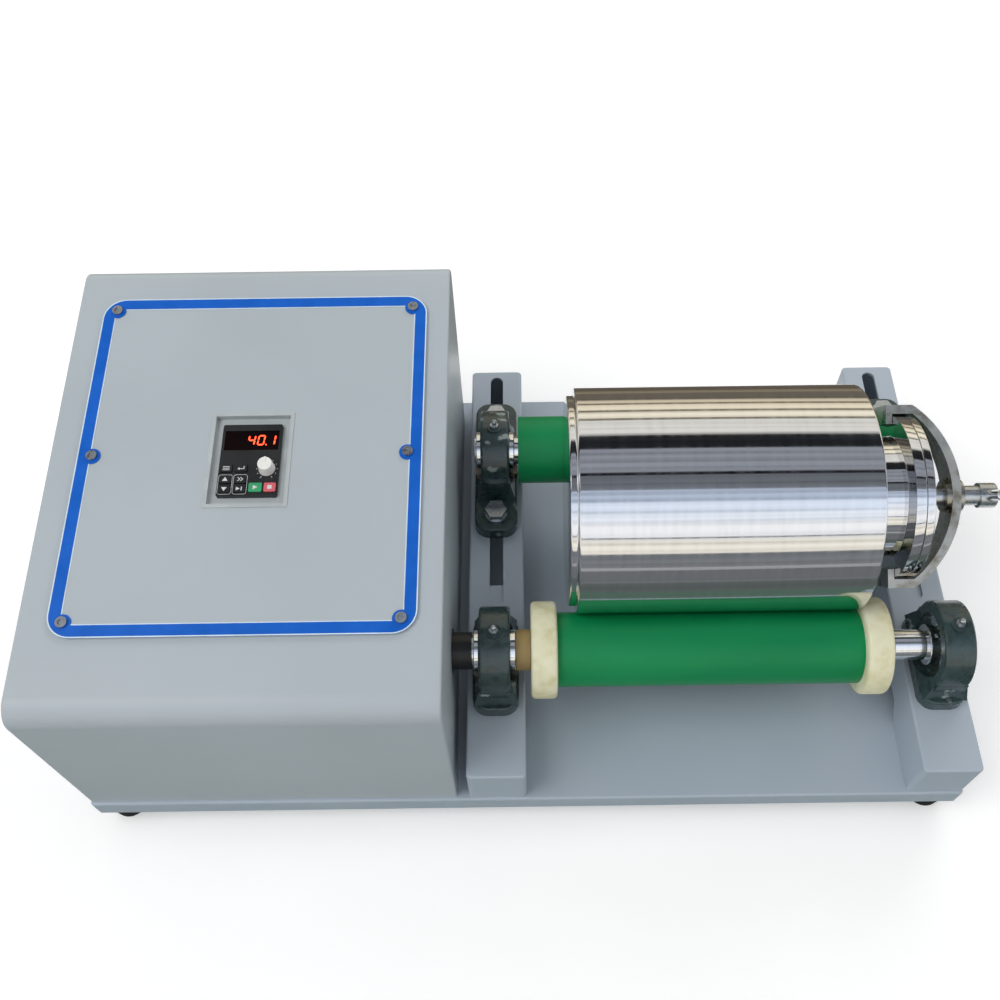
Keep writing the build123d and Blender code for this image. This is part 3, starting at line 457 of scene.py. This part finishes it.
# Rollers, rings, collars and shafts
CORE_RADIUS = 25 * MM
SHAFT_RADIUS = 12.5 * MM
turned_ring("front_roller_cover", "front_roller", "roller_green", CORE_RADIUS, 0.6 * MM)
turned_ring("rear_roller_cover", "rear_roller", "roller_green", CORE_RADIUS, 0.6 * MM)
turned_ring("stop_ring_left", "front_roller", "nylon_cream", CORE_RADIUS, 4 * MM)
turned_ring("stop_ring_right", "front_roller", "nylon_cream", CORE_RADIUS, 4 * MM)
turned_ring("collar_left", "front_roller", "ochre_bush", SHAFT_RADIUS, 1 * MM)
turned_ring("collar_right", "front_roller", "black_steel", SHAFT_RADIUS, 1 * MM)
for node, body in {"front_shaft": "front_roller", "rear_shaft": "rear_roller"}.items():
    left, right, radius, centre = round_box(node)
    shaft_profile = [(left, 0), (left, radius), (right, radius), (right, 0)]
    shaft = turned(f"{node}_turned", shaft_profile, centre, finishes["bright_steel"], 1 * MM)
    put(shaft, body, "bright_steel", node)

# Control panel: display digits, key signs, dial scale, and pale lines along the blue strip's edges that are
# painted highlights
PANEL_HALF_THICKNESS = 1 * MM
TRIM_THICKNESS = 0.8 * MM
TRIM_WIDTH = 9.5 * MM
PANEL_CORNER = 18 * MM
KEYPAD_OFFSET = -4.1 * MM
WINDOW_OFFSET = 17 * MM
KEY_PROUD = 0.9 * MM
INK = 0.05 * MM
panel_centre = Vector([(a + b) / 2 for a, b in zip(panel_low, panel_high)])
panel_width = panel_high[0] - panel_low[0]
panel_length = 292.7 * MM
# Pale blue-white plastic for the painted highlights where the blue strip's edges catch the light
painted_edge_highlight = moulded("painted_edge_highlight", "#D9ECF7", 0.3)
white_ink = moulded("white_ink", "#D5D8DA", 0.5)


def panel_point(x, y, lift):
    """A point by its place on the panel and its height above the panel's middle."""
    return panel_centre + TO_RIGHT * x + TOP_SLOPE * y + TOP_NORMAL * lift


def flat_piece(name, outlines, low, high, material, body, slot_name):
    """Thin plates with the given outlines on the panel, between two heights."""
    vertices = []
    faces = []
    for outline in outlines:
        first = len(vertices)
        count = len(outline)
        vertices += [panel_point(x, y, low) for x, y in outline]
        vertices += [panel_point(x, y, high) for x, y in outline]
        faces.append(tuple(first + k for k in reversed(range(count))))
        faces.append(tuple(first + count + k for k in range(count)))
        for k in range(count):
            n = (k + 1) % count
            faces.append((first + k, first + n, first + count + n, first + count + k))
    return put(add_mesh(name, vertices, faces, material), body, slot_name)


def rounded_outline(x, y, width, length, corner, steps=10):
    """Points of a rounded rectangle, anticlockwise."""
    points = []
    for sx, sy, turn in ((1, 1, 0), (-1, 1, 90), (-1, -1, 180), (1, -1, 270)):
        for k in range(steps + 1):
            angle = radians(turn + 90 * k / steps)
            points.append((x + sx * (width / 2 - corner) + corner * cos(angle),
                           y + sy * (length / 2 - corner) + corner * sin(angle)))
    return points


def outline_ring(name, outer, inner, low, high, material, body, slot_name):
    """A closed thin band between two outlines with the same number of points."""
    count = len(outer)
    vertices = []
    for lift in (low, high):
        vertices += [panel_point(x, y, lift) for x, y in outer]
        vertices += [panel_point(x, y, lift) for x, y in inner]
    faces = []
    for k in range(count):
        n = (k + 1) % count
        top_outer, top_inner = 2 * count, 3 * count
        faces.append((top_outer + k, top_outer + n, top_inner + n, top_inner + k))
        faces.append((k, n, top_outer + n, top_outer + k))
        faces.append((count + n, count + k, top_inner + k, top_inner + n))
        faces.append((n, k, count + k, count + n))
    return put(add_mesh(name, vertices, faces, material), body, slot_name)


# Painted highlights along the blue strip: a thin pale line on top of its outer edge, and one just inside its
# inner edge
HIGHLIGHT_WIDTH = 0.9 * MM
highlight_top = PANEL_HALF_THICKNESS + TRIM_THICKNESS
outline_ring("trim_outer_highlight",
             rounded_outline(0, 0, panel_width, panel_length, PANEL_CORNER),
             rounded_outline(0, 0, panel_width - 2 * HIGHLIGHT_WIDTH, panel_length - 2 * HIGHLIGHT_WIDTH,
                             PANEL_CORNER - HIGHLIGHT_WIDTH),
             highlight_top, highlight_top + INK, painted_edge_highlight, "frame", "frame_paint")
inner_width = panel_width - 2 * TRIM_WIDTH
inner_length = panel_length - 2 * TRIM_WIDTH
inner_corner = PANEL_CORNER - TRIM_WIDTH
outline_ring("trim_inner_highlight",
             rounded_outline(0, 0, inner_width, inner_length, inner_corner),
             rounded_outline(0, 0, inner_width - 2 * HIGHLIGHT_WIDTH, inner_length - 2 * HIGHLIGHT_WIDTH,
                             inner_corner - HIGHLIGHT_WIDTH),
             PANEL_HALF_THICKNESS, PANEL_HALF_THICKNESS + TRIM_THICKNESS / 2, painted_edge_highlight,
             "frame", "frame_paint")

# Seven-segment digits, sheared a little to the right
DIGIT_HEIGHT = 9 * MM
DIGIT_WIDTH = 4.6 * MM
STROKE = 1.1 * MM
DIGIT_LEAN = 0.12
DIGIT_PLACES = (("4", 0.0), ("0", 7.4 * MM), ("1", 15.6 * MM))
POINT_X = 11.3 * MM
POINT_RADIUS = STROKE * 0.55
segment_places = {
    "a": (0, 1, "across"), "g": (0, 0, "across"), "d": (0, -1, "across"),
    "f": (-1, 0.5, "up"), "b": (1, 0.5, "up"), "e": (-1, -0.5, "up"), "c": (1, -0.5, "up"),
}
lit_segments = {"4": "fgbc", "0": "abcdef", "1": "bc"}
digit_outlines = []
for digit, digit_x in DIGIT_PLACES:
    for name in lit_segments[digit]:
        side, rise, direction = segment_places[name]
        mid_x = side * DIGIT_WIDTH / 2
        mid_y = rise * (DIGIT_HEIGHT - STROKE) / 2
        half = (DIGIT_WIDTH if direction == "across" else (DIGIT_HEIGHT - STROKE) / 2) / 2 - STROKE * 0.15
        pointed = [(-half, 0), (-half + STROKE / 2, -STROKE / 2), (half - STROKE / 2, -STROKE / 2),
                   (half, 0), (half - STROKE / 2, STROKE / 2), (-half + STROKE / 2, STROKE / 2)]
        outline = []
        for u, v in pointed:
            x, y = (mid_x + u, mid_y + v) if direction == "across" else (mid_x - v, mid_y + u)
            outline.append((digit_x + x + DIGIT_LEAN * y, KEYPAD_OFFSET + WINDOW_OFFSET + y))
        digit_outlines.append(outline)
point_y = KEYPAD_OFFSET + WINDOW_OFFSET - DIGIT_HEIGHT / 2 + STROKE / 2
digit_outlines.append([(POINT_X + POINT_RADIUS * cos(a * pi / 4), point_y + POINT_RADIUS * sin(a * pi / 4))
                       for a in range(8)])
flat_piece("display_digits", digit_outlines, INK, 3 * INK, glowing("display_glow", "#FF4A26", 3.0),
           "frame", "window_smoke")

# Dial scale: eleven ticks round the knob
DIAL_X = 14 * MM
DIAL_Y = KEYPAD_OFFSET - 8 * MM
TICK_COUNT = 11
TICK_INNER = 7.4 * MM
TICK_OUTER = 8.3 * MM
LONG_TICK_OUTER = 8.9 * MM
TICK_HALF_WIDTH = 0.2 * MM
tick_outlines = []
for k in range(TICK_COUNT):
    angle = radians(240 - 30 * k)
    along = Vector((cos(angle), sin(angle)))
    across = Vector((-along.y, along.x)) * TICK_HALF_WIDTH
    near = Vector((DIAL_X, DIAL_Y)) + along * TICK_INNER
    far = Vector((DIAL_X, DIAL_Y)) + along * (LONG_TICK_OUTER if k % 5 == 0 else TICK_OUTER)
    tick_outlines.append([near - across, far - across, far + across, near + across])
flat_piece("dial_ticks", tick_outlines, INK / 2, INK, white_ink, "frame", "black_plastic")

# Signs on the keys, each moving with its key: the key's place and the sign's shapes, in mm
KEY_SIGNS = {
    "up": (-17.0, -17.0, [[(-2.2, -1.4), (2.2, -1.4), (0, 2.0)]]),
    "down": (-17.0, -25.0, [[(-2.2, 1.4), (0, -2.0), (2.2, 1.4)]]),
    "menu": (-17.0, -7.5, [[(-2.6, y), (2.6, y), (2.6, y + 0.5), (-2.6, y + 0.5)]
                           for y in (-1.6, -0.25, 1.1)]),
    "enter": (-5.5, -7.5, [[(-2.8, -0.6), (-1.2, -1.8), (-1.2, -0.9), (2.4, -0.9), (2.4, 1.6), (1.8, 1.6),
                            (1.8, -0.3), (-1.2, -0.3), (-1.2, 0.6)]]),
    "shift": (-5.5, -17.0, [[(x - 1.2, -1.6), (x + 0.6, 0), (x - 1.2, 1.6), (x - 0.4, 1.6), (x + 1.4, 0),
                             (x - 0.4, -1.6)] for x in (-1.1, 1.1)]),
    "jog": (-5.5, -25.0, [[(-2.4, -1.6), (0.6, 0), (-2.4, 1.6)],
                          [(1.4, -1.6), (2.1, -1.6), (2.1, 1.6), (1.4, 1.6)]]),
    "run": (6.5, -24.0, [[(-1.7, -1.9), (2.0, 0), (-1.7, 1.9)]]),
    "stop": (17.5, -24.0, [[(-1.6, -1.6), (1.6, -1.6), (1.6, 1.6), (-1.6, 1.6)]]),
}
for key, (key_x, key_y, shapes) in KEY_SIGNS.items():
    outlines = [[((key_x + x) * MM, KEYPAD_OFFSET + (key_y + y) * MM) for x, y in shape] for shape in shapes]
    flat_piece(f"sign_{key}", outlines, KEY_PROUD + INK / 2, KEY_PROUD + 2 * INK, white_ink, f"key_{key}",
               "white_plastic")

# Printed frames round the two columns of arrow keys
for name, frame_x in (("keys_left", -17.0), ("keys_middle", -5.5)):
    outline_ring(f"frame_{name}",
                 rounded_outline(frame_x * MM, KEYPAD_OFFSET - 21 * MM, 10.8 * MM, 16.8 * MM, 2.2 * MM, 6),
                 rounded_outline(frame_x * MM, KEYPAD_OFFSET - 21 * MM, 10.2 * MM, 16.2 * MM, 1.9 * MM, 6),
                 INK / 2, INK, white_ink, "frame", "black_plastic")

# Floor: nearly white to the camera, and it keeps the shadow
FLOOR_LIFT = 0.24
FLOOR_REACH = 6
floor_material, floor_tree, floor_shader = new_material("floor")
floor_stops = [(0.3, linear("#F4F4F4")), (0.7, linear("#FAFAFA"))]
floor_colour = add_ramp(floor_tree, add_noise(floor_tree, 3.0), floor_stops)
floor_tree.links.new(floor_colour, floor_shader.inputs["Base Color"])
floor_shader.inputs["Roughness"].default_value = 0.8
floor_shader.inputs["Emission Color"].default_value = (1, 1, 1, 1)
floor_paths = floor_tree.nodes.new("ShaderNodeLightPath")
floor_seen = floor_tree.nodes.new("ShaderNodeMath")
floor_seen.operation = "MAXIMUM"
floor_tree.links.new(floor_paths.outputs["Is Camera Ray"], floor_seen.inputs[0])
floor_tree.links.new(floor_paths.outputs["Is Glossy Ray"], floor_seen.inputs[1])
floor_lift = floor_tree.nodes.new("ShaderNodeMath")
floor_lift.operation = "MULTIPLY"
floor_lift.inputs[1].default_value = FLOOR_LIFT
floor_tree.links.new(floor_seen.outputs["Value"], floor_lift.inputs[0])
floor_tree.links.new(floor_lift.outputs["Value"], floor_shader.inputs["Emission Strength"])
floor_corners = [(-FLOOR_REACH, -FLOOR_REACH, 0), (FLOOR_REACH, -FLOOR_REACH, 0),
                 (FLOOR_REACH, FLOOR_REACH, 0), (-FLOOR_REACH, FLOOR_REACH, 0)]
floor = add_mesh("floor", floor_corners, [(0, 1, 2, 3)], floor_material)

# Long studio cards round the jar's axis, seen only in reflections.
# Each has its first and last elevation in degrees from the front, its grey or tint and its strength.
CARDS = [
    (-26, 5, "#8E9296", 0.9),
    (5, 18, "#F2ECDF", 1.35),
    (18, 20.5, "#EDEBE6", 1.2),
    (20.5, 22, "#8C8E90", 0.9),
    (22, 36, "#F7F8FA", 1.3),
    (36, 45, "#EBF0F8", 1.4),
    (45, 56, "#DCE5F3", 1.35),
    (56, 68, "#C6D2E6", 1.15),
    (68, 82, "#8B9098", 0.75),
    (82, 85, "#2C2E31", 0.5),
    (85, 109, "#A4A8B2", 0.95),
    (109, 124, "#34363A", 0.6),
    (124, 126, "#C8C6C0", 1.0),
    (126, 143, "#E9E6DE", 1.15),
    (143, 146, "#8E8776", 0.8),
    (146, 155, "#F4EAD4", 1.3),
    (155, 158, "#9B917D", 0.8),
    (158, 167, "#EFE3C9", 1.2),
    (167, 170, "#A1957E", 0.8),
    (170, 176, "#E0D2B6", 1.1),
    (176, 200, "#8B8274", 0.7),
]
CARD_DISTANCE = 2.2
CARD_REACH = 4.5
CARD_STEP = 4


def card_material(name, code, strength):
    """A glow with streaks that run along the jar."""
    made = bpy.data.materials.new(name)
    made.use_nodes = True
    tree = made.node_tree
    tree.nodes.clear()
    glow = tree.nodes.new("ShaderNodeEmission")
    colour = linear(code)
    streaks = add_noise(tree, 1.0, 4.0, (0.12, 7.0, 7.0))
    stops = [(0.35, shade(colour, 0.72)), (0.5, colour), (0.65, shade(colour, 1.12))]
    tree.links.new(add_ramp(tree, streaks, stops), glow.inputs["Color"])
    glow.inputs["Strength"].default_value = strength
    output = tree.nodes.new("ShaderNodeOutputMaterial")
    tree.links.new(glow.outputs["Emission"], output.inputs["Surface"])
    return made


def add_card(name, vertices, faces, code, strength):
    """A card that only reflections show."""
    card = add_mesh(name, vertices, faces, card_material(name, code, strength))
    card.visible_camera = False
    card.visible_diffuse = False
    card.visible_transmission = False
    card.visible_shadow = False


for number, (first, last, code, strength) in enumerate(CARDS):
    steps = max(1, round((last - first) / CARD_STEP))
    vertices = []
    for k in range(steps + 1):
        angle = radians(first + (last - first) * k / steps)
        y = jar_centre[1] - CARD_DISTANCE * cos(angle)
        z = jar_centre[2] + CARD_DISTANCE * sin(angle)
        vertices += [(-CARD_REACH, y, z), (CARD_REACH, y, z)]
    faces = [(2 * k, 2 * k + 1, 2 * k + 3, 2 * k + 2) for k in range(steps)]
    add_card(f"card_{number}", vertices, faces, code, strength)


# Cards just above the floor, for the jar's lower front and its top rear. Each has its
# first and last distance from the jar's axis, negative in front, its tint and its strength.
FLOOR_CARDS = [
    (-2.2, -1.2, "#9A9CA0", 0.75),
    (-1.2, -0.95, "#C6C8CA", 0.95),
    (-0.95, -0.45, "#8C8F92", 0.75),
    (-0.45, -0.3, "#7C8481", 0.7),
    (-0.3, -0.16, "#6F8A7C", 0.7),
    (0.32, 0.7, "#7E7466", 0.65),
    (0.7, 1.1, "#A3967F", 0.8),
    (1.1, 2.2, "#8B8274", 0.7),
]
FLOOR_CARD_HEIGHT = 2 * MM
for number, (near, far, code, strength) in enumerate(FLOOR_CARDS):
    corners = [(-CARD_REACH, near), (CARD_REACH, near), (CARD_REACH, far), (-CARD_REACH, far)]
    vertices = [(x, jar_centre[1] + y, FLOOR_CARD_HEIGHT) for x, y in corners]
    add_card(f"floor_card_{number}", vertices, [(0, 1, 2, 3)], code, strength)


def add_area(name, place, target, size, power):
    """A rectangular light at a place, aimed at a target."""
    light_data = bpy.data.lights.new(name, "AREA")
    light_data.energy = power
    light_data.shape = "RECTANGLE"
    light_data.size, light_data.size_y = size
    light = bpy.data.objects.new(name, light_data)
    bpy.context.scene.collection.objects.link(light)
    aim = (Vector(target) - Vector(place)).normalized()
    light.matrix_world = Matrix.Translation(Vector(place)) @ look_along(aim, 0.0).to_4x4()


LIGHT_TARGET = (0, 0, 0.1)
add_area("key_light", (-1.4, -0.6, 2.6), LIGHT_TARGET, (1.6, 1.2), 28)
add_area("back_light", (1.2, 2.2, 2.0), LIGHT_TARGET, (2.0, 1.0), 18)

bpy.context.scene.view_settings.view_transform = "Standard"
